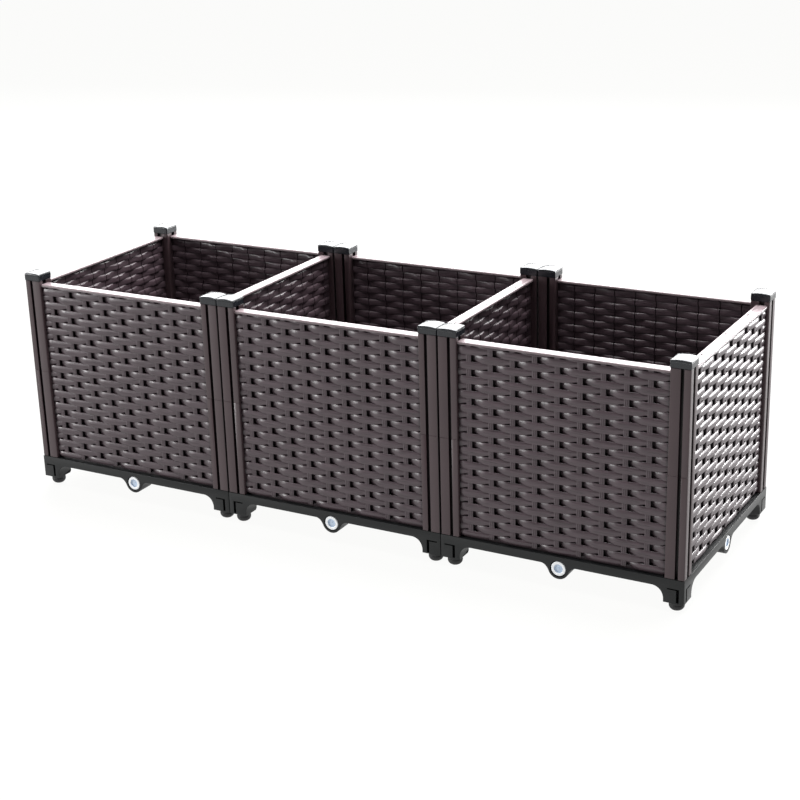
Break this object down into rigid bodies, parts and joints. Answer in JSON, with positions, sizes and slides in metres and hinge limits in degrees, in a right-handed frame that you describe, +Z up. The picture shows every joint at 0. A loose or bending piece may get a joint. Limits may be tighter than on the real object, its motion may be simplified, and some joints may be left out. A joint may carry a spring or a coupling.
{
  "type": "raised planter",
  "caption": "Row of square woven-look planter boxes on short footed legs, with capped corner posts, open tops and side drain outlets closed by pull-out plugs.",
  "frame": {"origin": "on the ground under the middle of the row", "axes": "+X along the row of modules, +Y to the back, +Z up; the front faces -Y"},
  "size_m": [1.1996, 0.3996, 0.3935],
  "materials": {
    "tray": "moulded polypropylene, dark green-grey",
    "post": "smooth moulded polypropylene, grey-brown",
    "wall": "moulded wicker-look polypropylene, grey-brown",
    "cap": "satin moulded polypropylene, slate",
    "foot": "black moulded rubber",
    "drain_plug": "white moulded plastic"
  },
  "bodies": {
    "planter": {"tray_left": "tray", "post_left_front_left": "post", "cap_left_front_left": "cap", "foot_left_front_left": "foot", "post_left_front_right": "post", "cap_left_front_right": "cap", "foot_left_front_right": "foot", "panel_left_front": "wall", "post_left_back_left": "post", "cap_left_back_left": "cap", "foot_left_back_left": "foot", "post_left_back_right": "post", "cap_left_back_right": "cap", "foot_left_back_right": "foot", "panel_left_back": "wall", "tray_middle": "tray", "post_middle_front_left": "post", "cap_middle_front_left": "cap", "foot_middle_front_left": "foot", "post_middle_front_right": "post", "cap_middle_front_right": "cap", "foot_middle_front_right": "foot", "panel_middle_front": "wall", "post_middle_back_left": "post", "cap_middle_back_left": "cap", "foot_middle_back_left": "foot", "post_middle_back_right": "post", "cap_middle_back_right": "cap", "foot_middle_back_right": "foot", "panel_middle_back": "wall", "tray_right": "tray", "post_right_front_left": "post", "cap_right_front_left": "cap", "foot_right_front_left": "foot", "post_right_front_right": "post", "cap_right_front_right": "cap", "foot_right_front_right": "foot", "panel_right_front": "wall", "post_right_back_left": "post", "cap_right_back_left": "cap", "foot_right_back_left": "foot", "post_right_back_right": "post", "cap_right_back_right": "cap", "foot_right_back_right": "foot", "panel_right_back": "wall", "panel_end_left": "wall", "panel_end_right": "wall", "panel_divider_left": "wall", "panel_divider_right": "wall"},
    "drain_plug_left_front": {"drain_plug_left_front": "drain_plug"},
    "drain_plug_left_back": {"drain_plug_left_back": "drain_plug"},
    "drain_plug_middle_front": {"drain_plug_middle_front": "drain_plug"},
    "drain_plug_middle_back": {"drain_plug_middle_back": "drain_plug"},
    "drain_plug_right_front": {"drain_plug_right_front": "drain_plug"},
    "drain_plug_right_back": {"drain_plug_right_back": "drain_plug"},
    "drain_plug_end_left": {"drain_plug_end_left": "drain_plug"},
    "drain_plug_end_right": {"drain_plug_end_right": "drain_plug"}
  },
  "joints": [
    {"name": "drain_plug_left_front_pull", "type": "slide", "parent": "planter", "child": "drain_plug_left_front", "axis": [0, -1, 0], "range_m": [0, 0.03]},
    {"name": "drain_plug_left_back_pull", "type": "slide", "parent": "planter", "child": "drain_plug_left_back", "axis": [0, 1, 0], "range_m": [0, 0.03]},
    {"name": "drain_plug_middle_front_pull", "type": "slide", "parent": "planter", "child": "drain_plug_middle_front", "axis": [0, -1, 0], "range_m": [0, 0.03]},
    {"name": "drain_plug_middle_back_pull", "type": "slide", "parent": "planter", "child": "drain_plug_middle_back", "axis": [0, 1, 0], "range_m": [0, 0.03]},
    {"name": "drain_plug_right_front_pull", "type": "slide", "parent": "planter", "child": "drain_plug_right_front", "axis": [0, -1, 0], "range_m": [0, 0.03]},
    {"name": "drain_plug_right_back_pull", "type": "slide", "parent": "planter", "child": "drain_plug_right_back", "axis": [0, 1, 0], "range_m": [0, 0.03]},
    {"name": "drain_plug_end_left_pull", "type": "slide", "parent": "planter", "child": "drain_plug_end_left", "axis": [-1, 0, 0], "range_m": [0, 0.03]},
    {"name": "drain_plug_end_right_pull", "type": "slide", "parent": "planter", "child": "drain_plug_end_right", "axis": [1, 0, 0], "range_m": [0, 0.03]}
  ]
}
